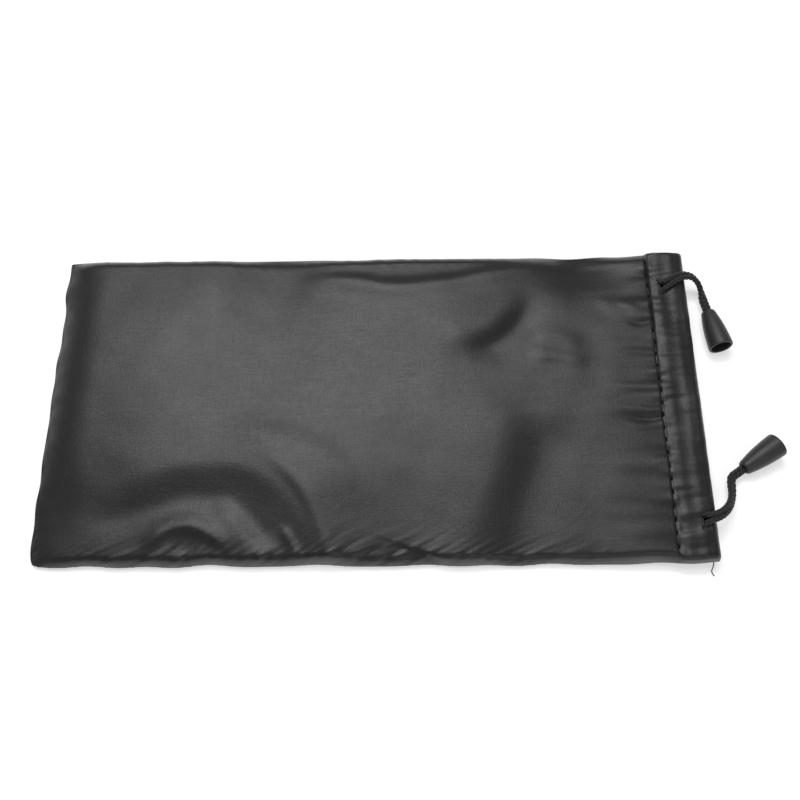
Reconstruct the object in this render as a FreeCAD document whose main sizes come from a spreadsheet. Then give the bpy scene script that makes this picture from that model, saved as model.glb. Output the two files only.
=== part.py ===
"""Soft drawstring pouch for glasses, lying flat with its mouth towards +X.

Frame: origin at the middle of the flat back face, +X from the closed end to
the mouth, +Y to the far side, +Z up, millimetres.  Two cloth panels are sewn
together on three sides.  At the mouth each panel is turned in to make a ring
channel, which holds two drawstrings.  Each drawstring goes once round the ring
and both its ends come out of one slit in the front hem, through a bell-shaped
cord end, and are held in it by a knot.
"""
import FreeCAD, Part
import Sketcher
import math
import os

V = FreeCAD.Vector
doc = FreeCAD.newDocument("glasses_pouch")

# ---------------------------------------------------------------- driving sizes
SIZES = {
    "pouch_length": 180, "pouch_width": 90, "cloth": 0.4,
    "puff_top": 7.4, "puff_run_end": 14, "puff_run_side": 15.8, "puff_front_x": 68,
    "puff_foot_x": 100, "hem_start": 79.2, "hem_seam": 0.6, "channel": 2.0,
    "hem_gap": 0.4, "fold_start": 38.4, "side_wall": 0.5,
    "flap_half": 28.8, "flap_gap": 0.4, "flap_tail": 84.0, "tail_gap": 0.2,
    "stitch_pitch": 3.6, "stitch_length": 2.6, "stitch_width": 0.4, "stitch_height": 0.25,
    "far_lane": 82.2, "near_lane": 86.2, "strand_radius": 0.75, "turn_y": 42.6,
    "far_slit_x": 80.8, "far_slit_y": 29.9, "far_slit_length": 4.4, "far_slit_width": 5.9,
    "near_slit_x": 84.4, "near_slit_y": -37.9, "near_slit_length": 3.2, "near_slit_width": 6.7,
    "bell_length": 11.8, "bell_mouth_radius": 3.5, "bell_neck_radius": 1.7,
    "bell_collar": 1.5, "bell_flank_radius": 32, "bell_bore_radius": 1.3, "bell_bore_depth": 2.0,
    "bell_shoulder_radius": 2.45, "bell_shoulder_depth": 6.0, "bell_rim_radius": 2.8,
    "twist_radius": 1.05, "twist_outside": 2.6, "knot_radius": 1.8, "knot_centre": 6.8,
    "knot_tail_radius": 0.9, "knot_tail_end": 9.6,
}
sheet = doc.addObject("Spreadsheet::Sheet", "sizes")
for row, (alias, number) in enumerate(SIZES.items(), start=1):
    sheet.set(f"A{row}", alias)
    sheet.set(f"B{row}", str(number))
    sheet.setAlias(f"B{row}", alias)
doc.recompute()


def size(expression):
    """The value of an expression in the sheet's aliases."""
    return float(sheet.evalExpression(expression.replace("sizes.", "")))


subparts = []


def keep(thing, label):
    """Names a finished sub-part and adds it to those that are written out."""
    thing.Label = label
    subparts.append(thing)
    return thing


# ---------------------------------------------------------------- building helpers
def bound(thing, **expressions):
    """Binds the object's properties to expressions in the sheet's cells."""
    for name, expression in expressions.items():
        thing.setExpression(name.replace("__", "."), expression)
    return thing


def box(name, x, y, z, length, width, height):
    """A Part::Box whose corner and sides are expressions in the sheet's cells."""
    block = doc.addObject("Part::Box", name)
    bound(block, Length=length, Width=width, Height=height)
    bound(block, Placement__Base__x=x, Placement__Base__y=y, Placement__Base__z=z)
    return block


def boolean(kind, name, base, tool):
    """A Part::Cut or Part::Common of two objects."""
    result = doc.addObject(kind, name)
    result.Base = base
    result.Tool = tool
    return result


def fuse(name, *pieces):
    """A Part::MultiFuse of several objects, with the seams between them removed."""
    result = doc.addObject("Part::MultiFuse", name)
    result.Shapes = list(pieces)
    result.Refine = True
    return result


def origin_plane(body, role):
    """The body's own origin plane with this role."""
    return next(f for f in body.Origin.OriginFeatures if f.Role == role)


def profile(body, role, corners, arcs=None):
    """A closed sketch whose corners are pairs of expressions.

    arcs maps the number of an edge to (radius expression, side), where side is
    +1 if the arc bulges to the left of the edge's direction and -1 to the right.
    """
    arcs = arcs or {}
    sketch = body.newObject("Sketcher::SketchObject", f"{body.Name}_profile")
    sketch.AttachmentSupport = (origin_plane(body, role), [""])
    sketch.MapMode = "FlatFace"
    points = [V(size(a), size(b), 0) for a, b in corners]
    count = len(points)
    for i, start in enumerate(points):
        end = points[(i + 1) % count]
        if i in arcs:
            radius, side = size(arcs[i][0]), arcs[i][1]
            chord = end - start
            left = V(-chord.y, chord.x, 0).normalize() * side
            sagitta = radius - math.sqrt(radius**2 - (chord.Length / 2) ** 2)
            middle = (start + end) * 0.5 + left * sagitta
            sketch.addGeometry(Part.Arc(start, middle, end), False)
        else:
            sketch.addGeometry(Part.LineSegment(start, end), False)
    starts = {}
    for i in range(count):
        # an arc's own start is the end of the edge that it runs back along
        turned = i in arcs and (sketch.Geometry[i].StartPoint - points[i]).Length > 1e-6
        starts[i] = (2, 1) if turned else (1, 2)
    for i in range(count):
        after = (i + 1) % count
        sketch.addConstraint(Sketcher.Constraint("Coincident", i, starts[i][1], after, starts[after][0]))
    for i, (a, b) in enumerate(corners):
        for kind, expression, value in (("DistanceX", a, points[i].x), ("DistanceY", b, points[i].y)):
            number = sketch.addConstraint(Sketcher.Constraint(kind, -1, 1, i, starts[i][0], value))
            sketch.setExpression(f"Constraints[{number}]", expression)
    for i, (radius, _) in arcs.items():
        number = sketch.addConstraint(Sketcher.Constraint("Radius", i, size(radius)))
        sketch.setExpression(f"Constraints[{number}]", radius)
    return sketch


def pad(body, sketch, depth):
    """A Pad of the sketch, the same depth to each side of its plane."""
    block = body.newObject("PartDesign::Pad", f"{body.Name}_pad_{len(body.Group)}")
    block.Profile = sketch
    block.Midplane = True
    block.setExpression("Length", depth)
    body.Tip = block
    return block


def turned(label, corners, arcs, base, direction):
    """A PartDesign body turned about its own Z axis, set at base along direction."""
    body = doc.addObject("PartDesign::Body", label)
    sketch = profile(body, "XZ_Plane", corners, arcs)
    spin = body.newObject("PartDesign::Revolution", f"{label}_turn")
    spin.Profile = sketch
    spin.ReferenceAxis = (sketch, ["V_Axis"])
    spin.Angle = 360
    body.Tip = spin
    body.Placement = FreeCAD.Placement(base, FreeCAD.Rotation(V(0, 0, 1), direction))
    return keep(body, label)


def cord_path(name, points):
    """Straight runs joined by tangent arcs, as one wire.

    Each arc's radius is 0.45 of the shorter run, divided by the tangent of half
    the turn.  The radii are printed.
    """
    edges, radii = [], []
    last = points[0]
    for before, corner, after in zip(points, points[1:], points[2:]):
        a, b = corner - before, after - corner
        half_turn = a.getAngle(b) / 2
        setback = 0.45 * min(a.Length, b.Length)
        start = corner - a.normalize() * setback
        end = corner + b.normalize() * setback
        radius = setback / math.tan(half_turn)
        to_middle = (start + end) * 0.5 - corner
        centre_distance = radius / math.cos(half_turn)
        middle = corner + to_middle.normalize() * (centre_distance - radius)
        edges += [Part.LineSegment(last, start).toShape(), Part.Arc(start, middle, end).toShape()]
        radii.append(round(radius, 2))
        last = end
    edges.append(Part.LineSegment(last, points[-1]).toShape())
    print(f"{name}: arc radii {radii} mm, length {sum(e.Length for e in edges):.1f} mm")
    return Part.Wire(edges)


def cord(label, *runs):
    """One node of cord: a tube of the strand's radius along each run of points."""
    tubes = []
    for number, run in enumerate(runs):
        points = [V(*point) for point in run]
        path = cord_path(f"{label} {number}", points)
        ring = Part.Circle(points[0], points[1] - points[0], size("strand_radius"))
        tube = path.makePipeShell([Part.Wire([ring.toShape()])], True, False)
        wanted = math.pi * size("strand_radius") ** 2 * path.Length
        if abs(tube.Volume / wanted - 1) > 0.01:
            raise ValueError(f"{label}: tube volume {tube.Volume:.2f}, section x length {wanted:.2f}")
        tubes.append(tube)
    node = doc.addObject("Part::Feature", label)
    node.Shape = tubes[0] if len(tubes) == 1 else Part.makeCompound(tubes)
    return keep(node, label)


def stitch_row(label, first, step, places):
    """A row of equal straight stitches, each a low bar lying on the cloth.

    first is the corner of stitch 0 as three expressions, step is (1, 0) along X
    or (0, 1) along Y, and places are the numbers of the stitches in the row.
    """
    pitch, along = size("stitch_pitch"), size("stitch_length")
    across, high = size("stitch_width"), size("stitch_height")
    sides = (along, across) if step[0] else (across, along)
    corner = V(*[size(e) for e in first])
    bars = [
        Part.makeBox(*sides, high, corner + V(step[0], step[1], 0) * (pitch * i)) for i in places
    ]
    node = doc.addObject("Part::Feature", label)
    node.Shape = Part.makeCompound(bars)
    return keep(node, label)


# ---------------------------------------------------------------- back panel
# One cloth from end to end, with its mouth edge turned in and sewn down to make
# the back half of the ring channel.
HEM_TOP_BACK = "(2 * sizes.cloth + sizes.channel)"
MOUTH_X = "sizes.pouch_length / 2"

back = doc.addObject("PartDesign::Body", "back_panel")
flat = profile(
    back,
    "XZ_Plane",
    [
        ("-sizes.pouch_length / 2", "0"),
        (MOUTH_X, "0"),
        (MOUTH_X, "sizes.cloth"),
        ("-sizes.pouch_length / 2", "sizes.cloth"),
    ],
)
pad(back, flat, "sizes.pouch_width")
hem = profile(
    back,
    "XZ_Plane",
    [
        ("sizes.hem_start", "sizes.cloth"),
        ("sizes.hem_start", HEM_TOP_BACK),
        (MOUTH_X, HEM_TOP_BACK),
        (MOUTH_X, "sizes.cloth"),
        (f"{MOUTH_X} - sizes.cloth", "sizes.cloth"),
        (f"{MOUTH_X} - sizes.cloth", f"{HEM_TOP_BACK} - sizes.cloth"),
        ("sizes.hem_start + sizes.hem_seam", f"{HEM_TOP_BACK} - sizes.cloth"),
        ("sizes.hem_start + sizes.hem_seam", "sizes.cloth"),
    ],
)
pad(back, hem, "2 * sizes.fold_start")
keep(back, "back_panel")

# ---------------------------------------------------------------- front panel
# A shallow pillow: an outer frustum less the same frustum one cloth lower.  The
# middle of it, the flap, lifts from the closed end when the mouth opens; the
# border round it stays sewn to the back panel.


def frustum(name, bottom):
    """The pillow's outside shape, standing on bottom (an expression)."""
    block = doc.addObject("Part::Wedge", name)
    block.Placement.Rotation = FreeCAD.Rotation(V(1, 0, 0), 90)
    bound(
        block,
        Xmin="-sizes.pouch_length / 2",
        Xmax="sizes.puff_foot_x",
        X2min="-sizes.pouch_length / 2 + sizes.puff_run_end",
        X2max="sizes.puff_front_x",
        Ymin="0",
        Ymax="sizes.puff_top - sizes.cloth",
        Zmin="-sizes.pouch_width / 2",
        Zmax="sizes.pouch_width / 2",
        Z2min="-sizes.pouch_width / 2 + sizes.puff_run_side",
        Z2max="sizes.pouch_width / 2 - sizes.puff_run_side",
        Placement__Base__z=bottom,
    )
    return block


def pillow(name):
    """The front panel's raised sheet, cut off where the hem begins."""
    shell = boolean(
        "Part::Cut", f"{name}_shell", frustum(f"{name}_outside", "sizes.cloth"), frustum(f"{name}_inside", "0")
    )
    room = box(
        f"{name}_room", "-sizes.pouch_length / 2", "-sizes.pouch_width / 2", "sizes.cloth",
        "sizes.pouch_length / 2 + sizes.hem_start + sizes.hem_seam", "sizes.pouch_width", "sizes.puff_top",
    )
    return boolean("Part::Common", f"{name}_sheet", shell, room)


HEM_FOOT = f"({HEM_TOP_BACK} + sizes.hem_gap)"
HEM_HEIGHT = HEM_TOP_BACK
HEM_LENGTH = "sizes.pouch_length / 2 - sizes.hem_start"
VOID_X = "sizes.hem_start + sizes.hem_seam"
VOID_LENGTH = f"sizes.pouch_length / 2 - sizes.cloth - {VOID_X}"


def hem_tube(name, y, width, void_y, void_width):
    """A stretch of the front hem, from y, with its cord channel cut out."""
    solid = box(f"{name}_solid", "sizes.hem_start", y, HEM_FOOT, HEM_LENGTH, width, HEM_HEIGHT)
    void = box(
        f"{name}_void", VOID_X, void_y, f"{HEM_FOOT} + sizes.cloth", VOID_LENGTH, void_width, "sizes.channel"
    )
    return boolean("Part::Cut", name, solid, void)


flap_room = box(
    "flap_room", "-sizes.flap_tail", "-sizes.flap_half", "0",
    "sizes.flap_tail + sizes.pouch_length / 2", "2 * sizes.flap_half", "2 * sizes.puff_top",
)
flap_sheet = boolean("Part::Common", "flap_sheet", pillow("flap"), flap_room)
flap_hem = hem_tube(
    "flap_hem", "-sizes.flap_half", "2 * sizes.flap_half", "-sizes.flap_half", "2 * sizes.flap_half"
)
keep(fuse("front_panel_flap", flap_sheet, flap_hem), "front_panel_flap")

BORDER_HALF = "sizes.flap_half + sizes.flap_gap"
SIDE_WIDTH = f"sizes.pouch_width / 2 - ({BORDER_HALF})"
WALL_Y = "sizes.pouch_width / 2 - sizes.side_wall"

middle_room = box(
    "middle_room", "-sizes.flap_tail - sizes.tail_gap", f"-({BORDER_HALF})", "0",
    "sizes.flap_tail + sizes.tail_gap + sizes.pouch_length", f"2 * ({BORDER_HALF})", "2 * sizes.puff_top",
)
border_sheet = boolean("Part::Cut", "border_sheet", pillow("border"), middle_room)
side_reach = "sizes.pouch_length / 2 + sizes.puff_foot_x"
end_room = box(
    "end_room", "-sizes.pouch_length / 2", f"-({BORDER_HALF})", "0",
    "sizes.pouch_length", f"2 * ({BORDER_HALF})", "2 * sizes.puff_top",
)
keep(boolean("Part::Common", "front_panel_end_border", border_sheet, end_room), "front_panel_end_border")
for side, low in (("far", BORDER_HALF), ("near", "-sizes.pouch_width / 2")):
    side_room = box(
        f"{side}_room", "-sizes.pouch_length / 2", low, "0", side_reach, SIDE_WIDTH, "2 * sizes.puff_top"
    )
    side_sheet = boolean("Part::Common", f"{side}_sheet", border_sheet, side_room)
    void_low = low if side == "far" else f"-({WALL_Y})"
    tube = hem_tube(f"{side}_hem", low, SIDE_WIDTH, void_low, f"{WALL_Y} - ({BORDER_HALF})")
    fold_low = "sizes.fold_start" if side == "far" else f"-({WALL_Y})"
    fold_way = box(
        f"{side}_fold_way", VOID_X, fold_low, HEM_FOOT, VOID_LENGTH, f"{WALL_Y} - sizes.fold_start",
        "2 * sizes.cloth",
    )
    slit = box(
        f"{side}_slit", f"sizes.{side}_slit_x", f"sizes.{side}_slit_y", f"{HEM_FOOT} + 2 * sizes.cloth",
        f"sizes.{side}_slit_length", f"sizes.{side}_slit_width", "2 * sizes.channel",
    )
    opened = boolean("Part::Cut", f"{side}_hem_folded", tube, fold_way)
    slit_hem = boolean("Part::Cut", f"{side}_hem_slit", opened, slit)
    wall_low = WALL_Y if side == "far" else "-sizes.pouch_width / 2"
    side_fold = box(
        f"{side}_side_fold", "sizes.hem_start", wall_low, "sizes.cloth", HEM_LENGTH, "sizes.side_wall", HEM_FOOT
    )
    label = f"front_panel_{side}_border"
    keep(fuse(label, side_sheet, slit_hem, side_fold), label)

# ---------------------------------------------------------------- stitching
# The hem is sewn with one row round the mouth, and the two side seams and the
# closed end with one row inside the pouch.
HEM_ROW_X = "sizes.hem_start + (sizes.hem_seam - sizes.stitch_width) / 2"
HEM_ROW_Y = "(sizes.stitch_pitch - sizes.stitch_length) / 2"
FRONT_ROW = (HEM_ROW_X, HEM_ROW_Y, f"{HEM_FOOT} + {HEM_HEIGHT}")
FLAP_STITCHES = 8  # each side of the middle
HEM_STITCHES = 12  # each side of the middle
stitch_row("flap_hem_stitching", FRONT_ROW, (0, 1), range(-FLAP_STITCHES, FLAP_STITCHES))
stitch_row("far_hem_stitching", FRONT_ROW, (0, 1), range(FLAP_STITCHES, HEM_STITCHES))
stitch_row("near_hem_stitching", FRONT_ROW, (0, 1), range(-HEM_STITCHES, -FLAP_STITCHES))
stitch_row(
    "back_hem_stitching", (HEM_ROW_X, HEM_ROW_Y, HEM_TOP_BACK), (0, 1), range(-HEM_STITCHES + 2, HEM_STITCHES - 2)
)
SEAM_INSET = 2.2  # from the edge of the cloth to the row of seam stitches
SEAM_STITCHES = 22  # each side of the middle, along a side seam
END_STITCHES = 11  # each side of the middle, along the closed end
side_row = f"sizes.pouch_width / 2 - {SEAM_INSET} - sizes.stitch_width"
end_row = f"-sizes.pouch_length / 2 + {SEAM_INSET}"
stitch_row("far_seam_stitching", ("0", side_row, "sizes.cloth"), (1, 0), range(-SEAM_STITCHES, SEAM_STITCHES - 1))
stitch_row(
    "near_seam_stitching", ("0", f"-({side_row}) - sizes.stitch_width", "sizes.cloth"), (1, 0),
    range(-SEAM_STITCHES, SEAM_STITCHES - 1),
)
stitch_row("end_seam_stitching", (end_row, HEM_ROW_Y, "sizes.cloth"), (0, 1), range(-END_STITCHES, END_STITCHES))

# ---------------------------------------------------------------- drawstrings
# Each drawstring's ends rise through its slit, run over the hem and hang over
# the mouth edge to the bell.  Round the ring it lies in a lane of its own.
STRAND_RADIUS = size("strand_radius")
LOW = size(f"{HEM_TOP_BACK} / 2")  # middle of the back channel
HIGH = size(f"{HEM_FOOT} + {HEM_HEIGHT} / 2")  # middle of the front channel
OVER = size(f"{HEM_FOOT} + {HEM_HEIGHT}") + STRAND_RADIUS + 0.15  # lying on the hem
TURN = size("turn_y")
FLAP_EDGE = size("flap_half")
BORDER_EDGE = size(BORDER_HALF)
FAR_LANE = size("far_lane")
NEAR_LANE = size("near_lane")


def ring_run(lane, side):
    """From the border's edge opposite the slit, round that fold and the back, to the slit's own fold."""
    return [
        (lane, -side * BORDER_EDGE, HIGH),
        (lane, -side * TURN, HIGH),
        (lane, -side * TURN, LOW),
        (lane, side * TURN, LOW),
        (lane, side * TURN, HIGH),
    ]


cord(
    "far_drawstring_ring",
    ring_run(FAR_LANE, 1)
    + [(FAR_LANE, 37.4, HIGH), (81.6, 34.4, HIGH), (82.9, 33.4, OVER), (84.26, 34.42, OVER)],
)
cord(
    "far_drawstring_slit_run",
    [(FAR_LANE, BORDER_EDGE, HIGH), (FAR_LANE, 30.6, HIGH), (84.0, 32.2, OVER), (85.2, 33.1, OVER)],
)
cord("far_drawstring_flap_run", [(FAR_LANE, -FLAP_EDGE, HIGH), (FAR_LANE, FLAP_EDGE, HIGH)])
cord(
    "near_drawstring_ring",
    ring_run(NEAR_LANE, -1)
    + [(NEAR_LANE, -37.4, HIGH), (85.8, -35.5, OVER), (87.6, -35.1, OVER)],
)
cord(
    "near_drawstring_slit_run",
    [(NEAR_LANE, -BORDER_EDGE, HIGH), (NEAR_LANE, -31.6, HIGH), (85.7, -33.9, OVER), (87.3, -33.55, OVER)],
)
cord("near_drawstring_flap_run", [(NEAR_LANE, -FLAP_EDGE, HIGH), (NEAR_LANE, FLAP_EDGE, HIGH)])

FREE_ROUTES = {
    "far_strand_inner": [
        (85.2, 33.1, OVER), (88.0, 35.2, OVER), (91.3, 35.8, OVER), (93.7, 34.7, 4.5), (94.6, 32.3, 2.1),
    ],
    "far_strand_outer": [
        (84.26, 34.42, OVER), (87.3, 36.7, OVER), (91.4, 37.5, OVER), (94.7, 36.0, 4.5), (96.3, 32.5, 2.1),
    ],
    "near_strand_inner": [
        (87.3, -33.55, OVER), (90.5, -32.85, OVER), (93.5, -30.6, 4.8), (95.2, -27.6, 2.7),
        (95.6, -24.6, 1.9), (95.9, -21.87, 2.0),
    ],
    "near_strand_outer": [
        (87.6, -35.1, OVER), (91.2, -34.3, OVER), (94.9, -31.7, 4.8), (96.8, -28.0, 2.6),
        (97.25, -24.9, 1.9), (97.28, -22.86, 2.05),
    ],
}

# ---------------------------------------------------------------- bells and knots
# The bell is a moulded cap: a bored neck, a flank swelling in one arc to the
# open rim, and a shoulder inside that the knot pulls up against.  Outside the
# neck the two strands are twisted together.
BELL_OUTLINE = [
    ("sizes.bell_bore_radius", "0"),
    ("sizes.bell_neck_radius", "0"),
    ("sizes.bell_neck_radius", "sizes.bell_collar"),
    ("sizes.bell_mouth_radius", "sizes.bell_length"),
    ("sizes.bell_rim_radius", "sizes.bell_length"),
    ("sizes.bell_shoulder_radius", "sizes.bell_shoulder_depth"),
    ("sizes.bell_bore_radius", "sizes.bell_bore_depth"),
]
FLANK = 2  # the edge of the outline that is an arc
KNOT_OUTLINE = [
    ("0", "-sizes.twist_outside"),
    ("sizes.twist_radius", "-sizes.twist_outside"),
    ("sizes.twist_radius", "sizes.knot_centre - sizes.knot_radius * 0.9"),
    ("sizes.knot_radius", "sizes.knot_centre - sizes.knot_radius * 0.4"),
    ("sizes.knot_radius", "sizes.knot_centre + sizes.knot_radius * 0.4"),
    ("sizes.knot_tail_radius", "sizes.knot_centre + sizes.knot_radius * 0.9"),
    ("sizes.knot_tail_radius", "sizes.knot_tail_end"),
    ("0", "sizes.knot_tail_end"),
]
BELLS = {
    "far": (V(96.4, 26.6, 2.4), V(98.43, 15.0, 3.45), V(-0.97, -0.17, 0)),
    "near": (V(100.0, -20.1, 2.4), V(109.8, -13.63, 3.45), V(-0.55, 0.83, 0)),
}
STRAND_SPACING = 0.85  # from the twist's axis to the middle of each strand
for side, (neck, mouth, to_inner) in BELLS.items():
    axis = (mouth - neck).normalize()
    neck.z = size("bell_mouth_radius") * math.sqrt(1 - axis.z**2) - axis.z * size("bell_length")
    turned(f"{side}_bell", BELL_OUTLINE, {FLANK: ("sizes.bell_flank_radius", -1)}, neck, axis)
    turned(f"{side}_knot", KNOT_OUTLINE, {}, neck, axis)
    print(f"{side} bell: neck {tuple(neck)}, axis {tuple(axis)}")
    twist_start = neck - axis * size("twist_outside")
    for strand, sign in (("inner", 1), ("outer", -1)):
        name = f"{side}_strand_{strand}"
        end = twist_start + to_inner * (sign * STRAND_SPACING)
        cord(name, FREE_ROUTES[name] + [tuple(end)])

# ---------------------------------------------------------------- check and write
doc.recompute()
for thing in doc.Objects:
    if "Invalid" in thing.State or "Error" in thing.State:
        raise RuntimeError(f"{thing.Label} failed: {thing.State}")
os.makedirs("parts", exist_ok=True)
for thing in subparts:
    shape = thing.Shape
    if shape.isNull() or not shape.isValid():
        raise RuntimeError(f"{thing.Label} has no valid shape")
    box_of = shape.BoundBox
    print(
        f"{thing.Label}: {len(shape.Solids)} solid(s), {shape.Volume:.1f} mm3, "
        f"x {box_of.XMin:.2f}..{box_of.XMax:.2f}, y {box_of.YMin:.2f}..{box_of.YMax:.2f}, "
        f"z {box_of.ZMin:.2f}..{box_of.ZMax:.2f}"
    )
    shape.exportStep(f"parts/{thing.Label}.step")
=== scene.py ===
"""Soft drawstring pouch for glasses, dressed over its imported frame.

Sizes inside the classes are millimetres in the row frame; a mesh is written in
metres by `to_object`.  Surfaces are grids or profiles worked out with numpy.
"""

import logging
import math
from dataclasses import dataclass, field
from enum import Enum

import bpy
import numpy as np
from mathutils import Matrix


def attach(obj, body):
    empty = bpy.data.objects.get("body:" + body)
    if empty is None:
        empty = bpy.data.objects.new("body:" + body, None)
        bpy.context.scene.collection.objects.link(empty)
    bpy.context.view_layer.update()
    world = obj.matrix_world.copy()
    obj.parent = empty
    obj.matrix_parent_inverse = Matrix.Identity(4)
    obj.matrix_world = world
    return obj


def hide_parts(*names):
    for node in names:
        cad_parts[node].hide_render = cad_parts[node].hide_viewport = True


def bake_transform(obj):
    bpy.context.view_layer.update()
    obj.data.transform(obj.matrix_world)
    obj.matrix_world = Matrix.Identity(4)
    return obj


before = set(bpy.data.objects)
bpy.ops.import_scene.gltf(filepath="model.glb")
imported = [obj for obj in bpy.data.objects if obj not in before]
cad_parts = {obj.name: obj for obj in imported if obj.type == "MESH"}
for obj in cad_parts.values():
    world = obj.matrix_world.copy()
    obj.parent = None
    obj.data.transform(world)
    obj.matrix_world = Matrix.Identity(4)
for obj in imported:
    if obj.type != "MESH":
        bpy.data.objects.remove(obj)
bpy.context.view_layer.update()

logging.basicConfig(level=logging.INFO, format="%(message)s")
LOG = logging.getLogger("glasses_pouch")
Array = np.ndarray
Point = tuple[float, float, float]
MM = 0.001  # metres in a millimetre
RING_STEP = 0.09  # mm between the rings of a braided tube
CUT_EDGE_ANGLE = 55.0  # degrees past which a sheet's edge is drawn sharp
FLAP_HALF = 29.0  # mm from the middle line to where the lifting flap ends


class Body(str, Enum):
    """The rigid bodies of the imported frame."""

    POUCH = "pouch"
    FLAP = "mouth_flap"
    FAR_PULL = "far_pull"
    NEAR_PULL = "near_pull"
    FAR_CAP = "far_cap"
    NEAR_CAP = "near_cap"


class Slot(str, Enum):
    """The record's material slots."""

    FABRIC = "pouch_fabric"
    THREAD = "sewing_thread"
    CORD = "cord_braid"
    BELL = "bell_plastic"


# ------------------------------------------------------------------ geometry
def smooth(t: Array) -> Array:
    """Smoothstep: 3 t^2 - 2 t^3 of t held between 0 and 1.

    Args:
        t: where on the step, 0 at its foot and 1 at its top.

    Returns:
        The eased value.
    """
    t = np.clip(t, 0.0, 1.0)
    return t * t * (3.0 - 2.0 * t)


def roll(distance: Array, width: float | Array) -> Array:
    """A rounded border, 1 - (1 - d / width)^2.4: 0 at an edge, and 1 from width on.

    Args:
        distance: how far in from the edge, in mm.
        width: how wide the rounded border is, in mm.

    Returns:
        The share of the full height, 0 to 1.
    """
    return 1.0 - np.clip(1.0 - distance / width, 0.0, 1.0) ** 2.4


def distance_to_line(x: Array, y: Array, points: list[tuple[float, float]]) -> tuple[Array, Array]:
    """The signed distance to a polyline, and how far along it the nearest point is.

    The sign is plus to the left of the line's direction.

    Args:
        x, y: the places, in mm.
        points: the polyline's corners, in mm.

    Returns:
        The signed distance in mm, and the place along it from 0 to 1.
    """
    best = np.full(x.shape, 1e9)
    sign = np.ones(x.shape)
    along = np.zeros(x.shape)
    corners = np.array(points, float)
    lengths = np.hypot(*np.diff(corners, axis=0).T)
    starts = np.concatenate([[0.0], np.cumsum(lengths)])
    for a, b, start, length in zip(corners, corners[1:], starts, lengths):
        ux, uy = (b - a) / length
        t = np.clip((x - a[0]) * ux + (y - a[1]) * uy, 0.0, length)
        dx, dy = x - a[0] - t * ux, y - a[1] - t * uy
        d = np.hypot(dx, dy)
        nearer = d < best
        best = np.where(nearer, d, best)
        sign = np.where(nearer, np.where(ux * dy - uy * dx >= 0, 1.0, -1.0), sign)
        along = np.where(nearer, (start + t) / starts[-1], along)
    return best * sign, along


def bend_points(points: list[tuple[float, float]], count: int = 40) -> list[tuple[float, float]]:
    """A smooth curve through a few points, by a cubic (Catmull-Rom) blend of them.

    Args:
        points: the corners that the curve goes through.
        count: how many points the smooth curve has.

    Returns:
        The curve as close-set points.
    """
    p = np.array(points, float)
    if len(p) < 3:
        return points
    p = np.vstack([2 * p[0] - p[1], p, 2 * p[-1] - p[-2]])
    u = np.linspace(0, len(p) - 3 - 1e-9, count)
    i = u.astype(int)
    t = (u - i)[:, None]
    a, b, c, d = p[i], p[i + 1], p[i + 2], p[i + 3]
    curve = 0.5 * (2 * b + (c - a) * t + (2 * a - 5 * b + 4 * c - d) * t**2 + (3 * b - a - 3 * c + d) * t**3)
    return [tuple(q) for q in curve]


@dataclass(frozen=True)
class Fold:
    """A ridge or a furrow along a smooth line on the cloth.

    Its height is high * exp(-(d / w)^2), where w is one width to the left of the
    line and another to the right, eased to nothing at the line's two ends.
    """

    line: tuple[tuple[float, float], ...]
    high: float
    left: float
    right: float
    fade_in: float = 0.25
    fade_out: float = 0.25

    def height(self, x: Array, y: Array) -> Array:
        """The fold's height at these places.

        Args:
            x, y: the places on the cloth, in mm.

        Returns:
            The height to add, in mm.
        """
        d, along = distance_to_line(x, y, bend_points(list(self.line)))
        width = np.where(d >= 0, self.left, self.right)
        ease = smooth(along / max(self.fade_in, 1e-6)) * smooth((1 - along) / max(self.fade_out, 1e-6))
        return self.high * np.exp(-((d / width) ** 2)) * ease


@dataclass(frozen=True)
class Swell:
    """A rounded hill or hollow: high * exp(-(dx / rx)^2 - (dy / ry)^2)."""

    place: tuple[float, float]
    reach: tuple[float, float]
    high: float

    def height(self, x: Array, y: Array) -> Array:
        """The swell's height at these places, in mm."""
        dx, dy = (x - self.place[0]) / self.reach[0], (y - self.place[1]) / self.reach[1]
        return self.high * np.exp(-(dx**2) - dy**2)


def ripple(x: Array, y: Array, seed: int, wave: float, count: int = 14) -> Array:
    """A gentle uneven surface: a sum of sine waves in random directions.

    Args:
        x, y: the places, in mm.
        seed: fixes the random draws.
        wave: the mean length of a wave, in mm.
        count: how many waves are added.

    Returns:
        Heights with a spread of about 1.
    """
    draw = np.random.default_rng(seed)
    total = np.zeros(x.shape)
    for angle, phase, scale in zip(
        draw.uniform(0, math.pi, count), draw.uniform(0, 2 * math.pi, count), draw.uniform(0.6, 1.6, count)
    ):
        k = 2 * math.pi / (wave * scale)
        total += np.sin(k * (x * math.cos(angle) + y * math.sin(angle)) + phase)
    return total * math.sqrt(2.0 / count)


def grid_faces(rows: int, columns: int, wrap: bool = False, wrap_rows: bool = False) -> Array:
    """The quads of a grid of points kept row by row.

    Args:
        rows, columns: the grid's size.
        wrap: joins the last column to the first.
        wrap_rows: joins the last row to the first.

    Returns:
        An array of four point numbers for each quad.
    """
    i = np.arange(rows if wrap_rows else rows - 1)[:, None]
    j = np.arange(columns if wrap else columns - 1)[None, :]
    ni, nj = (i + 1) % rows, (j + 1) % columns
    here, below = i * columns, ni * columns
    return np.stack([here + j, here + nj, below + nj, below + j], -1).reshape(-1, 4)


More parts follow.
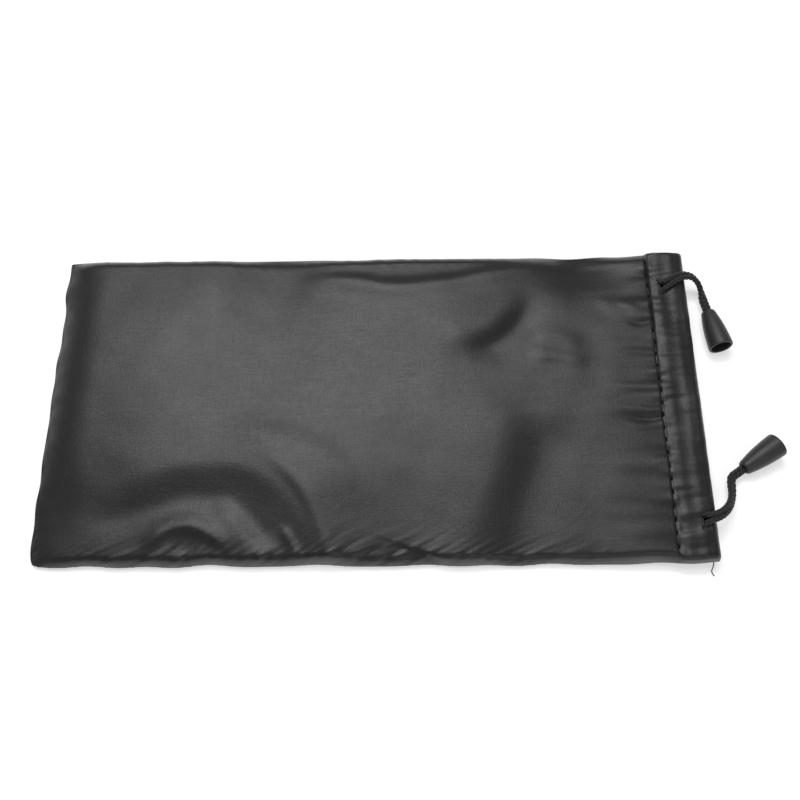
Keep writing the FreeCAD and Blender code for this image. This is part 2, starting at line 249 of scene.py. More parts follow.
def to_object(name: str, points: Array, faces: Array, uv: Array | None = None) -> bpy.types.Object:
    """Makes a smooth-shaded mesh object from points in mm, with no point left unused.

    Args:
        name: the piece's name.
        points: an (n, 3) array in mm.
        faces: rows of point numbers, all the same length.
        uv: an (n, 2) array kept as a corner UV map.

    Returns:
        The object, at the origin, with its place in its mesh.
    """
    used = np.unique(faces)
    renumber = np.zeros(len(points), int)
    renumber[used] = np.arange(len(used))
    mesh = bpy.data.meshes.new(name)
    mesh.from_pydata((points[used] * MM).tolist(), [], renumber[faces].tolist())
    mesh.polygons.foreach_set("use_smooth", np.ones(len(mesh.polygons), bool))
    if uv is not None:
        layer = mesh.uv_layers.new(name="along")
        corner = np.empty(len(mesh.loops), int)
        mesh.loops.foreach_get("vertex_index", corner)
        layer.data.foreach_set("uv", uv[used][corner].astype(np.float32).ravel())
    mesh.update()
    thing = bpy.data.objects.new(name, mesh)
    bpy.context.scene.collection.objects.link(thing)
    return thing


def face_outwards(thing: bpy.types.Object) -> None:
    """Turns a closed mesh's faces round if the volume that they bound is negative.

    Six times the volume is the sum over the triangles of a . (b x c).

    Args:
        thing: the closed piece.
    """
    mesh = thing.data
    mesh.calc_loop_triangles()
    corners = np.empty(len(mesh.loop_triangles) * 3, int)
    mesh.loop_triangles.foreach_get("vertices", corners)
    points = np.empty(len(mesh.vertices) * 3)
    mesh.vertices.foreach_get("co", points)
    a, b, c = points.reshape(-1, 3)[corners.reshape(-1, 3)].transpose(1, 0, 2)
    if np.einsum("ij,ij->i", a, np.cross(b, c)).sum() < 0:
        mesh.flip_normals()


def thicken(thing: bpy.types.Object, thickness: float, side: float = -1.0) -> None:
    """Gives an open sheet its thickness with an applied Solidify modifier.

    Args:
        thing: the sheet.
        thickness: in mm.
        side: -1 grows it away from its normals, +1 along them.
    """
    solid = thing.modifiers.new("thickness", "SOLIDIFY")
    solid.thickness = thickness * MM
    solid.offset = side
    solid.use_quality_normals = True
    apply_modifiers(thing)
    thing.data.set_sharp_from_angle(angle=math.radians(CUT_EDGE_ANGLE))


def apply_modifiers(thing: bpy.types.Object) -> None:
    """Writes the result of the object's modifiers into its mesh.

    Args:
        thing: the object.
    """
    bpy.context.view_layer.update()
    depsgraph = bpy.context.evaluated_depsgraph_get()
    done = bpy.data.meshes.new_from_object(
        thing.evaluated_get(depsgraph), preserve_all_data_layers=True, depsgraph=depsgraph
    )
    thing.modifiers.clear()
    thing.data = done


def join_parts(name: str, parts: list[tuple[Array, Array, Array]]) -> bpy.types.Object:
    """One object from several parts.

    Args:
        name: the piece's name.
        parts: the points, the faces and the UV map of each part.

    Returns:
        The object.
    """
    offset, points, faces, uvs = 0, [], [], []
    for p, f, uv in parts:
        points.append(p)
        faces.append(f + offset)
        uvs.append(uv)
        offset += len(p)
    return to_object(name, np.vstack(points), np.vstack(faces), np.vstack(uvs))


def centreline(name: str, route: list[Point]) -> Array:
    """Points along the NURBS spline whose control points are the route.

    Args:
        name: a name for the curve while it is read.
        route: the given points, in mm.

    Returns:
        Evenly spaced points along the spline, in mm.
    """
    curve = bpy.data.curves.new(name, "CURVE")
    curve.dimensions = "3D"
    curve.resolution_u = 24
    spline = curve.splines.new("NURBS")
    spline.points.add(len(route) - 1)
    flat = np.c_[np.array(route, float) * MM, np.ones(len(route))]
    spline.points.foreach_set("co", flat.ravel())
    spline.order_u = 3
    spline.use_endpoint_u = True
    holder = bpy.data.objects.new(name, curve)
    mesh = bpy.data.meshes.new_from_object(holder)
    points = np.empty(len(mesh.vertices) * 3)
    mesh.vertices.foreach_get("co", points)
    bpy.data.objects.remove(holder)
    bpy.data.curves.remove(curve)
    bpy.data.meshes.remove(mesh)
    return spaced(points.reshape(-1, 3) / MM)


def spaced(points: Array, step: float = RING_STEP) -> Array:
    """The same line with its points evenly spaced along it.

    Args:
        points: an (n, 3) line in mm.
        step: the wanted spacing in mm.

    Returns:
        The points, spaced by about step.
    """
    run = np.concatenate([[0.0], np.cumsum(np.linalg.norm(np.diff(points, axis=0), axis=1))])
    at = np.linspace(0, run[-1], max(int(run[-1] / step), 2) + 1)
    return np.stack([np.interp(at, run, points[:, k]) for k in range(3)], -1)


# ------------------------------------------------------------------ shader maths
class Socket:
    """A shader value that takes part in Python arithmetic by adding Math nodes."""

    def __init__(self, finish: "NodeBuilder", link: bpy.types.NodeSocket) -> None:
        """Wraps an output socket of the builder's tree."""
        self.finish = finish
        self.link = link

    def _math(self, operation: str, *others: "Socket | float") -> "Socket":
        """The Math node of this operation on this value and the others."""
        return self.finish.add("ShaderNodeMath", {"operation": operation}, dict(enumerate((self, *others))))

    def __add__(self, other: "Socket | float") -> "Socket":
        """self + other."""
        return self._math("ADD", other)

    __radd__ = __add__

    def __sub__(self, other: "Socket | float") -> "Socket":
        """self - other."""
        return self._math("SUBTRACT", other)

    def __rsub__(self, other: float) -> "Socket":
        """other - self."""
        return self._math("MULTIPLY", -1.0) + other

    def __mul__(self, other: "Socket | float") -> "Socket":
        """self * other."""
        return self._math("MULTIPLY", other)

    __rmul__ = __mul__

    def wave(self) -> "Socket":
        """sin(self)."""
        return self._math("SINE")

    def size(self) -> "Socket":
        """The value without its sign."""
        return self._math("ABSOLUTE")


class NodeBuilder:
    """One material's node tree, with one method that adds any node."""

    def __init__(self, name: str) -> None:
        """Starts an empty tree that ends in a Principled surface."""
        self.material = bpy.data.materials.new(name)
        self.material.use_nodes = True
        self.tree = self.material.node_tree
        self.tree.nodes.clear()
        self.surface = self.tree.nodes.new("ShaderNodeBsdfPrincipled")
        output = self.tree.nodes.new("ShaderNodeOutputMaterial")
        self.tree.links.new(self.surface.outputs[0], output.inputs[0])

    def add(
        self, kind: str, settings: dict | None = None, inputs: dict | None = None, out: int | str = 0
    ) -> Socket:
        """Adds a node, sets it up and links its inputs.

        Args:
            kind: the node's type.
            settings: attributes set first, such as an operation.
            inputs: socket name or number to a value or a Socket.
            out: which output comes back.

        Returns:
            The chosen output, wrapped.
        """
        node = self.tree.nodes.new(kind)
        for key, value in (settings or {}).items():
            setattr(node, key, value)
        for key, value in (inputs or {}).items():
            self.feed(node.inputs[key], value)
        return Socket(self, node.outputs[out])

    def feed(self, socket: bpy.types.NodeSocket, value: "Socket | float | tuple") -> None:
        """Links a Socket to an input, or sets the input's own value.

        Args:
            socket: the input.
            value: what it gets.
        """
        if isinstance(value, Socket):
            self.tree.links.new(value.link, socket)
        else:
            socket.default_value = value

    def dress(self, **sockets: "Socket | float | tuple") -> bpy.types.Material:
        """Sets the Principled surface's sockets.

        Args:
            sockets: each input's name, with underscores for spaces, and its value.

        Returns:
            The finished material.
        """
        for name, value in sockets.items():
            self.feed(self.surface.inputs[name.replace("_", " ")], value)
        return self.material

    def place(self, scale: Point = (1, 1, 1), source: str = "Object") -> Socket:
        """Object coordinates, or the UV map, scaled along each axis.

        Args:
            scale: how many units each axis is stretched to.
            source: "Object" or "UV".

        Returns:
            The vector.
        """
        at = self.add("ShaderNodeTexCoord", out=source)
        return self.add("ShaderNodeMapping", {}, {"Vector": at, "Scale": scale})

    def noise(self, vector: Socket, scale: float, detail: float = 2.0, rough: float = 0.5) -> Socket:
        """A noise texture's value at the vector."""
        inputs = {"Vector": vector, "Scale": scale, "Detail": detail, "Roughness": rough}
        return self.add("ShaderNodeTexNoise", {}, inputs)

    def bump(self, height: Socket, distance: float, strength: float = 1.0) -> Socket:
        """A Bump node: the height field raised by distance (in metres)."""
        return self.add("ShaderNodeBump", {}, {"Height": height, "Distance": distance, "Strength": strength})

    def tint(self, factor: Socket, dark: tuple, light: tuple) -> Socket:
        """A colour between two by the factor."""
        colours = {0: factor, 6: (*dark, 1.0), 7: (*light, 1.0)}
        return self.add("ShaderNodeMix", {"data_type": "RGBA"}, colours, out=2)


@dataclass(frozen=True)
class Taffeta:
    """Black coated taffeta: a fine plain weave with slubs under a soft sheen."""

    threads_per_metre: float = 3600.0
    dark: tuple = (0.010, 0.010, 0.011)
    light: tuple = (0.022, 0.022, 0.023)
    roughness: float = 0.35
    sheen: float = 0.04
    slub_across: float = 4200.0
    slub_along: float = 260.0
    relief: float = 0.00007

    def material(self) -> bpy.types.Material:
        """The cloth: |sin x sin y| weave, slubs along warp and weft, worn specks.

        Returns:
            The material.
        """
        build = NodeBuilder("black_taffeta")
        at = build.place()
        split = build.tree.nodes.new("ShaderNodeSeparateXYZ")
        build.feed(split.inputs[0], at)
        x, y = Socket(build, split.outputs[0]), Socket(build, split.outputs[1])
        k = self.threads_per_metre * math.pi
        weave = (x * k).wave().size() * (y * k).wave().size()
        warp = build.noise(build.place((self.slub_across, self.slub_along, 400)), 1.0, 2.0)
        weft = build.noise(build.place((self.slub_along, self.slub_across, 400)), 1.0, 2.0)
        cloud = build.noise(at, 45.0, 3.0, 0.6)
        speck = build.noise(at, 1500.0, 3.0, 0.7)
        grain = warp * 0.5 + weft * 0.5
        height = weave * 0.3 + grain * 0.8 + speck * 0.9
        normal = build.bump(height, self.relief, 0.75)
        tone = cloud * 0.45 + grain * 0.5 + speck * 0.35 - 0.15
        return build.dress(
            Base_Color=build.tint(tone, self.dark, self.light),
            Roughness=grain * 0.16 + cloud * 0.10 + (self.roughness - 0.13),
            Normal=normal,
            Sheen_Weight=self.sheen,
            Sheen_Roughness=0.45,
            Specular_IOR_Level=0.55,
        )


@dataclass(frozen=True)
class Thread:
    """Black spun thread, twisted, with a dull surface."""

    turns_per_metre: float = 2400.0
    dark: tuple = (0.002, 0.002, 0.002)
    light: tuple = (0.008, 0.008, 0.008)
    relief: float = 0.00006

    def material(self) -> bpy.types.Material:
        """The thread: slanting plies in the bump and a little fluff in the colour.

        Returns:
            The material.
        """
        build = NodeBuilder("black_thread")
        twist = build.add(
            "ShaderNodeTexWave",
            {"wave_type": "BANDS", "bands_direction": "DIAGONAL"},
            {"Vector": build.place(), "Scale": self.turns_per_metre / 6, "Distortion": 0.6},
            out=1,
        )
        fluff = build.noise(build.place(), 3200.0)
        return build.dress(
            Base_Color=build.tint(fluff, self.dark, self.light),
            Roughness=fluff * 0.2 + 0.7,
            Normal=build.bump(twist + fluff * 0.5, self.relief),
            Specular_IOR_Level=0.2,
        )


@dataclass(frozen=True)
class Braid:
    """Black braided cord: filaments run along each plait."""

    dark: tuple = (0.001, 0.001, 0.001)
    light: tuple = (0.034, 0.034, 0.036)
    relief: float = 0.00006

    def material(self) -> bpy.types.Material:
        """The cord: fine filaments along its UV map, with painted shade between the plaits, where the relief
        attribute darkens the colour.

        Returns:
            The material.
        """
        build = NodeBuilder("black_braid")
        fibre = build.noise(build.place((9.0, 150.0, 1.0), source="UV"), 1.0, 2.0)
        fluff = build.noise(build.place(), 2600.0)
        # painted shade: the braid's relief height darkens the colour in the gaps between the plaits
        plait = build.add("ShaderNodeAttribute", {"attribute_name": "relief"}, out="Fac")
        tone = plait * 1.1 + fluff * 0.3 - 0.35
        return build.dress(
            Base_Color=build.tint(tone, self.dark, self.light),
            Roughness=fluff * 0.2 + 0.42,
            Normal=build.bump(fibre, self.relief, 0.8),
            Specular_IOR_Level=0.45,
            Sheen_Weight=0.15,
        )


@dataclass(frozen=True)
class MouldedPlastic:
    """Black moulded plastic with a satin skin and faint handling marks."""

    roughness: float = 0.40
    dark: tuple = (0.020, 0.020, 0.020)
    light: tuple = (0.046, 0.046, 0.047)
    relief: float = 0.00002

    def material(self) -> bpy.types.Material:
        """The plastic: a fine orange-peel bump, uneven gloss and paler rubbed spots.

        Returns:
            The material.
        """
        build = NodeBuilder("black_plastic")
        peel = build.noise(build.place(), 1500.0, 2.0)
        rub = build.noise(build.place(), 260.0, 4.0, 0.65)
        return build.dress(
            Base_Color=build.tint(rub, self.dark, self.light),
            Roughness=rub * 0.22 + (self.roughness - 0.05),
            Normal=build.bump(peel, self.relief, 0.6),
            Specular_IOR_Level=0.55,
        )


class Finishes:
    """The object's materials, each made once."""

    def __init__(self) -> None:
        """Makes every finish's material."""
        self.by_slot = {
            Slot.FABRIC: Taffeta().material(),
            Slot.THREAD: Thread().material(),
            Slot.CORD: Braid().material(),
            Slot.BELL: MouldedPlastic().material(),
        }

    def dress(self, thing: bpy.types.Object, slot: Slot) -> bpy.types.Object:
        """Gives a piece its slot's finish.

        Args:
            thing: the piece.
            slot: which material.

        Returns:
            The piece.
        """
        thing.data.materials.clear()
        thing.data.materials.append(self.by_slot[slot])
        return thing


# ------------------------------------------------------------------ the cloth
class Side(Enum):
    """The pouch's far (+Y) and near (-Y) sides."""

    FAR = 1
    NEAR = -1

    @property
    def word(self) -> str:
        """The side's name, as in the frame's nodes."""
        return self.name.lower()


# each Fold is its line (x, y), height, left and right widths, and the shares faded in and out
FOLDS = (
    # the far edge: the crease that runs beside it, and the rounded border beyond
    Fold(((-24, 37), (-5, 36), (5, 34), (20, 35), (35, 38), (48, 40), (70, 42)), 0.7, 2.2, 3.6, 0.2, 0.3),
    # the pleat that runs in from the far edge: a swell that falls to its right
    Fold(((13, 13.5), (22, 17.5), (31, 22), (37, 29), (41, 40)), 0.95, 10.0, 5.4, 0.35, 0.6),
    Fold(((25, 13.5), (35, 16), (43, 24), (47, 34)), -0.85, 3.4, 5.6, 0.3, 0.4),
    # streaks between the pleat and the hem
    Fold(((43, 12.5), (52, 12), (61, 9)), 0.36, 3.0, 2.0, 0.3, 0.3),
    Fold(((44, 19), (52, 18), (60, 14.5)), 0.22, 3.0, 2.4, 0.3, 0.3),
    Fold(((60, 24), (63, 12), (60, 0)), -0.18, 4.0, 4.0, 0.3, 0.3),
    Fold(((64, 31), (70, 26), (77, 24)), 0.2, 2.0, 2.0, 0.3, 0.2),
    # the long fall across the near half: a ridge, the slope to its right and the furrow at its foot
    Fold(((35, 6), (34, -8), (29, -26), (22, -46)), 1.15, 9.0, 13.0, 0.35, 0.02),
    Fold(((48, -2), (47, -14), (42, -28), (37, -46)), -0.8, 11.0, 6.5, 0.3, 0.02),
    # the wide arch over the near corner of the closed end
    Fold(
        ((-86, -33), (-68, -23), (-47, -17.5), (-32, -19), (-21, -27), (-14, -37), (-11, -46)),
        1.1, 12.0, 5.5, 0.4, 0.02,
    ),
    Fold(((-80, -37), (-62, -32), (-46, -28), (-34, -32), (-25, -42)), -0.6, 4.0, 4.5, 0.3, 0.1),
    Fold(((-42, -27), (-36, -34), (-28, -44)), 0.6, 3.0, 3.6, 0.3, 0.05),
    Fold(((-24, -35), (-21, -39), (-18, -45)), 0.4, 1.2, 1.6, 0.3, 0.05),
    # the fine ridge that crosses the middle
    Fold(((-44, -9), (-32, -10), (-20, -13.5), (-8, -21.5), (2, -31)), 0.8, 5.2, 9.0, 0.35, 0.35),
    Fold(((-30, -14), (-20, -23), (-14, -33), (-10, -44)), 0.4, 3.0, 2.0, 0.4, 0.05),
    # the small arch at the near seam
    Fold(((-60, -42), (-54, -36.6), (-48, -35.2), (-42, -37.5), (-34, -43)), 0.75, 3.4, 1.7, 0.25, 0.3),
)

# short gathers that run from the hem's stitch line into the body
DARTS = (
    Fold(((79.3, -6.2), (74, -6.6), (65, -5.2)), -0.70, 1.1, 1.2, 0.02, 0.75),
    Fold(((79.3, -4.0), (74, -4.0), (62, -2.6)), 0.24, 1.0, 1.1, 0.05, 0.7),
    Fold(((79.3, -8.6), (73, -9.0), (66, -8.6)), 0.18, 1.0, 0.9, 0.05, 0.6),
    Fold(((79.3, 22.5), (75, 22), (70, 24.5)), -0.40, 1.1, 1.3, 0.02, 0.7),
    Fold(((79.3, 2.0), (72, 2.4), (62, 4.5)), 0.22, 1.0, 1.3, 0.05, 0.7),
    Fold(((79.3, 27), (75, 26.5), (69, 29)), 0.40, 1.3, 1.3, 0.05, 0.6),
    Fold(((79.3, 13), (74, 13.4), (67, 14)), -0.20, 1.1, 1.2, 0.05, 0.7),
)

# each Swell is its place (x, y), its reach along x and y, and its height
SWELLS = (
    Swell((-28, 60), (13, 40), -3.6),
    Swell((-47, 34), (8, 10), 0.5),
    Swell((62, 44), (15.5, 10.5), -4.0),
    Swell((73, 35), (6, 6), -0.4),
    Swell((12, 28), (14, 10), 0.6),
    Swell((-60, 4), (15, 26), 0.7),
    Swell((-48, -41), (4.2, 3.0), -0.45),
    Swell((5, -20), (18, 18), 0.4),
    Swell((-84, -30), (8, 8), -0.9),
)


@dataclass
class Cloth:
    """The shape of the laid pouch, shared by its panels.

    The front panel's height over the table is the rounded border times the puffed
    height, plus folds, plus puckers that fade away from each line of stitching.
    """

    length: float = 180.0
    width: float = 90.0
    thickness: float = 0.24
    hem_x: float = 79.35
    seam_height: float = 1.15
    body_height: float = 5.4
    stitch_pitch: float = 3.6
    hem_seam_height: float = 3.0
    hem_top: float = 5.5
    hem_shoulder: float = 5.0
    hem_sole: float = 3.32
    table_gap: float = 0.12

    @property
    def half_length(self) -> float:
        """Half the pouch's length."""
        return self.length / 2

    @property
    def half_width(self) -> float:
        """Half the pouch's width."""
        return self.width / 2

    def drift(self, points: Array) -> Array:
        """The same points with the outline's small waviness, which fades within 4 mm.

        Args:
            points: an (..., 3) array in mm.

        Returns:
            The moved points.
        """
        x, y = points[..., 0], points[..., 1]
        side, end = self.half_width - np.abs(y), x + self.half_length
        sign = np.sign(y)
        corner = np.exp(-(np.maximum(side, 0) + np.maximum(end, 0)) / 2.0) * np.where(y < 0, 1.0, 0.4)
        wavy_side = np.where(y < 0, 0.2, 0.1) * ripple(x, sign * 40, 51, 17) * np.exp(-side / 4)
        moved = points.copy()
        moved[..., 0] += 0.18 * ripple(y, 0 * y, 61, 13) * np.exp(-end / 4) + 0.9 * corner
        moved[..., 1] += wavy_side - 0.7 * sign * corner
        return moved

    def edge_height(self, x: Array) -> Array:
        """The height of the side seam: low along the body, at mid-hem by the mouth."""
        return self.seam_height + (self.hem_seam_height - self.seam_height) * smooth((x - 70) / 12)

    def puckers(self, x: Array, y: Array) -> Array:
        """Small gathers that stand across each sewn edge and fade within a few mm.

        Each is a rippled wave along the seam times exp(-distance / reach).

        Args:
            x, y: the places, in mm.

        Returns:
            The height to add, in mm.
        """
        side = self.half_width - np.abs(y)
        end = x + self.half_length
        warp = 2.2 * ripple(x, y, 5, 40)
        near_more = np.where(y < 0, 1.0, 0.35)
        slant = np.where(y < 0, 1.1, 0.4) * side
        along_side = np.sin(2 * math.pi * (x + warp - slant) / 6.3) * (0.6 + 0.4 * np.sin(x / 9.1 + 1.3))
        along_side = along_side + 0.45 * np.sin(2 * math.pi * (x - 1.6 * slant) / 3.7 + warp)
        along_end = np.sin(2 * math.pi * (y + warp) / 7.2 + 0.8)
        fade = smooth((70 - x) / 40)
        bumps = 0.36 * near_more * along_side * np.exp(-side / 2.6) * fade
        return bumps + 0.16 * along_end * np.exp(-end / 2.6)

    def hem_puckers(self, x: Array, y: Array) -> Array:
        """Gathers across the hem's stitch line, one or two to a stitch, and its darts.

        Args:
            x, y: the places, in mm.

        Returns:
            The height to add, in mm.
        """
        off = x - self.hem_x
        reach = np.where(off < 0, 3.4, 2.6)
        uneven = ripple(x * 0.15, y, 11, 5.0)
        wave = np.cos(2 * math.pi * y / self.stitch_pitch) * 0.55 + uneven * 0.8
        long_high = np.where(off < 0, 0.20, 0.10)
        long_gathers = ripple(x * 0.2, y, 23, 6.0) * np.exp(-np.abs(off) / 7.0) * long_high
        darts = sum(dart.height(x, y) for dart in DARTS)
        return wave * 0.20 * np.exp(-np.abs(off) / reach) + long_gathers + darts

    def body(self, x: Array, y: Array) -> Array:
        """The front panel's height from the closed end to the hem's stitch line.

        It is the seam's height plus the rounded border's share of the puffed height.
        The puffed height leans down to the near side and draws level with the hem over
        the last 23 mm, and a narrow groove runs along the stitch line.

        Args:
            x, y: the places, in mm.

        Returns:
            The height over the table, in mm.
        """
        side = self.half_width - np.abs(y)
        end = x + self.half_length
        wide = np.where(y < 0, 2.4, 4.0)
        border = roll(side, wide) * roll(end, 14.0)
        off = x - self.hem_x
        groove = 0.38 * np.exp(-((off / 0.34) ** 2))
        swell = 0.25 * ripple(x, y, 3, 70.0) + 0.035 * ripple(x, y, 8, 15.0)
        folds = sum(shape.height(x, y) for shape in FOLDS + SWELLS)
        inner = self.body_height + swell + folds
        inner = inner - 0.035 * np.maximum(-5.0 - y, 0) * smooth((76 - x) / 20)
        inner = inner + (self.body_height - inner) * 0.6 * smooth((x - 56) / 23) - groove
        edge = self.edge_height(x)
        height = edge + (inner - edge) * border
        height = height + self.puckers(x, y) * smooth(side / 0.8) * smooth(end / 0.8)
        return height + self.hem_puckers(x, y) * smooth(side / 3) * smooth((x - 55) / 8)


@dataclass
class FrontPanel:
    """The front cloth: body, puffed hem, rolled mouth edge and turned-in layer.

    It is made in two halves that meet on the middle line.
    """

    cloth: Cloth
    finishes: Finishes
    step: float = 0.5
    slit_floor: float = 4.3
    flat: tuple[float, float] = (0.053, 0.204)
    slits: dict = field(
        default_factory=lambda: {Side.FAR: (83.5, 33.4, 0.9, 1.5), Side.NEAR: (87.0, -34.3, 0.75, 1.3)}
    )

    def hem_path(self) -> tuple[Array, Array]:
        """The hem's section: over the channel, round the mouth edge, back under it.

        Returns:
            x in mm, and the share of the top's height (1 on top, 0 below).
        """
        mouth, start, round_off = self.cloth.half_length, self.cloth.hem_x, 1.5
        by_stitches = np.linspace(start, start + 1.8, 16)[1:]
        top = np.concatenate([by_stitches, np.linspace(start + 2.1, mouth - round_off, 18)])
        turn = np.linspace(0, math.pi, 15)[1:]
        edge_x = mouth - round_off + round_off * np.sin(turn)
        back = np.linspace(mouth - round_off, start + 0.3, 18)[1:]
        x = np.concatenate([top, edge_x, back])
        share = np.concatenate([np.ones(len(top)), (1 + np.cos(turn)) / 2, np.zeros(len(back))])
        return x, share

    def half(self, side: Side) -> bpy.types.Object:
        """One half of the panel as a thick sheet.

        Args:
            side: which half.

        Returns:
            The piece.
        """
        cloth, sign = self.cloth, side.value
        seam_zone = np.linspace(cloth.hem_x - 1.8, cloth.hem_x, 16)
        end_zone = np.array([0.0, 0.06, 0.2]) - cloth.half_length
        even = np.arange(-cloth.half_length, seam_zone[0] - 0.2, self.step)[1:]
        body_x = np.concatenate([end_zone, even, seam_zone])
        hem_x, share = self.hem_path()
        x_line = np.concatenate([body_x, hem_x])
        y_line = np.arange(0, cloth.half_width - 0.2, self.step)
        by_edge = cloth.half_width - np.array([0.35, 0.15, 0.04, 0.0])
        y_line = np.concatenate([[0.0, 0.06], y_line[1:], by_edge])
        x, y = np.meshgrid(x_line, sign * y_line, indexing="ij")
        rows = len(body_x)
        z = np.empty(x.shape)
        z[:rows] = cloth.body(x[:rows], y[:rows])
        z[rows:] = self.hem_height(x[rows:], y[rows:], share[:, None], z[rows - 1][None, :])
        points = cloth.drift(np.stack([x, y, z], -1).reshape(-1, 3))
        faces = grid_faces(*x.shape)
        faces = faces[self.keep_faces(points[faces].mean(1), side)]
        if side is Side.NEAR:
            faces = faces[:, ::-1]
        thing = to_object(f"front_panel_{side.word}_half", points, faces)
        thicken(thing, cloth.thickness)
        self.finishes.dress(thing, Slot.FABRIC)
        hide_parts(f"front_panel_{side.word}_border", "front_panel_flap", "front_panel_end_border")
        sign * FLAP_HALF * MM
        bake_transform(thing)
        return thing

    def hem_height(self, x: Array, y: Array, share: Array, start: Array) -> Array:
        """The hem's height: between the flat sole and the puffed top, by the share.

        The top is eased into the stitch line and has a low ridge over each cord's lane.

        Args:
            x, y: the places in mm.
            share: 1 on top, 0 underneath.
            start: the body's height along the stitch line.

        Returns:
            The height in mm.
        """
        cloth = self.cloth
        t = (x - cloth.hem_x) / (cloth.half_length - cloth.hem_x)
        side = cloth.half_width - np.abs(y)
        border = roll(side, 1.2)
        puff = 1 - np.abs(2 * np.clip(t, 0, 1) - 1) ** 5.0
        lanes = 0.10 * np.exp(-(((x - 82.2) / 1.1) ** 2)) + 0.12 * np.exp(-(((x - 86.2) / 1.1) ** 2))
        wrinkle = 0.10 * ripple(x * 0.5, y, 31, 5.5) + 0.05 * ripple(x * 0.3, y, 37, 3.4)
        shoulder = cloth.hem_shoulder
        top = shoulder + (cloth.hem_top - shoulder) * puff + (lanes + wrinkle) * smooth(t / 0.2) + 0.15
        top = top + cloth.hem_puckers(x, y) * smooth((1 - t) / 0.5)
        edge = cloth.edge_height(x)
        top = edge + (top - edge) * border
        top = start + (top - start) * smooth(t / 0.075)
        sole = edge + (cloth.hem_sole - edge) * border
        return sole + (top - sole) * share

    def keep_faces(self, centres: Array, side: Side) -> Array:
        """Which faces stay: all but those in the drawstring's slit in the hem's top.

        The slit is an ellipse (x, y, half width, half length) in the hem's top layer.

        Args:
            centres: an (n, 3) array of the faces' middles, in mm.
            side: which half.

        Returns:
            True for each face that stays.
        """
        x, y, wide, long = self.slits[side]
        inside = ((centres[:, 0] - x) / wide) ** 2 + ((centres[:, 1] - y) / long) ** 2 < 1
        return ~(inside & (centres[:, 2] > self.slit_floor))

    def build(self) -> None:
        """Both halves."""
        for side in Side:
            thing = self.half(side)
            LOG.info("piece %s: front cloth, %d faces", thing.name, len(thing.data.polygons))


@dataclass
class BackPanel:
    """The back cloth, which lies on the table, and its half of the hem."""

    cloth: Cloth
    finishes: Finishes
    step: float = 0.9
    rise: float = 1.8
    round_off: float = 1.25
    hem_inside: float = 2.35
    flat: tuple[float, float] = (0.106, 0.204)

    def build(self) -> None:
        """The back panel as one thick sheet from the closed end round the mouth edge.

        The height rises to the seam beside each sewn edge, as height * (1 - d / rise)^2,
        where d is the distance to the edge.
        """
        cloth, round_off = self.cloth, self.round_off
        end_x, mouth, half_width = -cloth.half_length, cloth.half_length, cloth.half_width
        body_x = np.concatenate([[end_x, end_x + 0.2, end_x + 0.5], np.arange(end_x + 1.0, 88.4, self.step)])
        turn = np.linspace(0, math.pi, 13)
        edge_x = mouth - round_off + round_off * np.sin(turn)
        back_x = np.linspace(mouth - round_off, cloth.hem_x, 14)[1:]
        x_line = np.concatenate([body_x, edge_x, back_x])
        share = np.concatenate([np.zeros(len(body_x)), (1 - np.cos(turn)) / 2, np.ones(len(back_x))])[:, None]
        by_edge = [half_width, 44.95, 44.8, 44.5, 44.1]
        side_y = np.concatenate([by_edge, np.arange(43.4, 0, -self.step)])
        y_line = np.concatenate([-side_y, side_y[::-1]])
        x, y = np.meshgrid(x_line, y_line, indexing="ij")
        side = half_width - np.abs(y)
        end = x - end_x
        t = np.clip((x - cloth.hem_x) / (mouth - cloth.hem_x), 0, 1)
        edge = cloth.edge_height(x)
        lift_side = (edge - cloth.table_gap) * np.clip(1 - side / self.rise, 0, 1) ** 2
        lift_end = (cloth.seam_height - cloth.table_gap) * np.clip(1 - end / self.rise, 0, 1) ** 2
        lift_end = lift_end * (share < 0.5)
        floor = cloth.table_gap + np.maximum(lift_side, lift_end)
        top = self.hem_inside + 0.38 * (1 - np.abs(2 * t - 1) ** 2.5) + 0.05 * ripple(x, y, 41, 9)
        top = edge + (top - edge) * roll(side, 2.0)
        z = floor + (top - floor) * share
        points = cloth.drift(np.stack([x, y, z], -1).reshape(-1, 3))
        thing = to_object("back_panel_cloth", points, grid_faces(*x.shape))
        thicken(thing, cloth.thickness, 1.0)
        self.finishes.dress(thing, Slot.FABRIC)
        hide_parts("back_panel")
        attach(thing, Body.POUCH.value)
        LOG.info("piece %s: back cloth, %d faces", thing.name, len(thing.data.polygons))


# ------------------------------------------------------------------ thread and cord
def frames_along(line: Array) -> tuple[Array, Array]:
    """Two unit vectors across the line at each point, made from the world's up.

    Where the line itself runs upwards, world X takes up's place, eased over 30 points.

    Args:
        line: an (n, 3) line.

    Returns:
        The across and the upward vectors.
    """
    along = np.gradient(line, axis=0)
    along /= np.linalg.norm(along, axis=1)[:, None]
    up = np.array([0.05, 0.02, 1.0])
    blend_up = np.where(np.abs(along @ up)[:, None] > 0.9, np.array([1.0, 0.0, 0.05]), up)
    reach = 30
    weights = np.exp(-np.linspace(-2, 2, 2 * reach + 1) ** 2)
    padded_up = np.pad(blend_up, ((reach, reach), (0, 0)), mode="edge")
    weights /= weights.sum()
    blend_up = np.stack([np.convolve(padded_up[:, k], weights, "valid") for k in range(3)], -1)
    across = np.cross(blend_up, along)
    across /= np.linalg.norm(across, axis=1)[:, None]
    return across, np.cross(along, across)


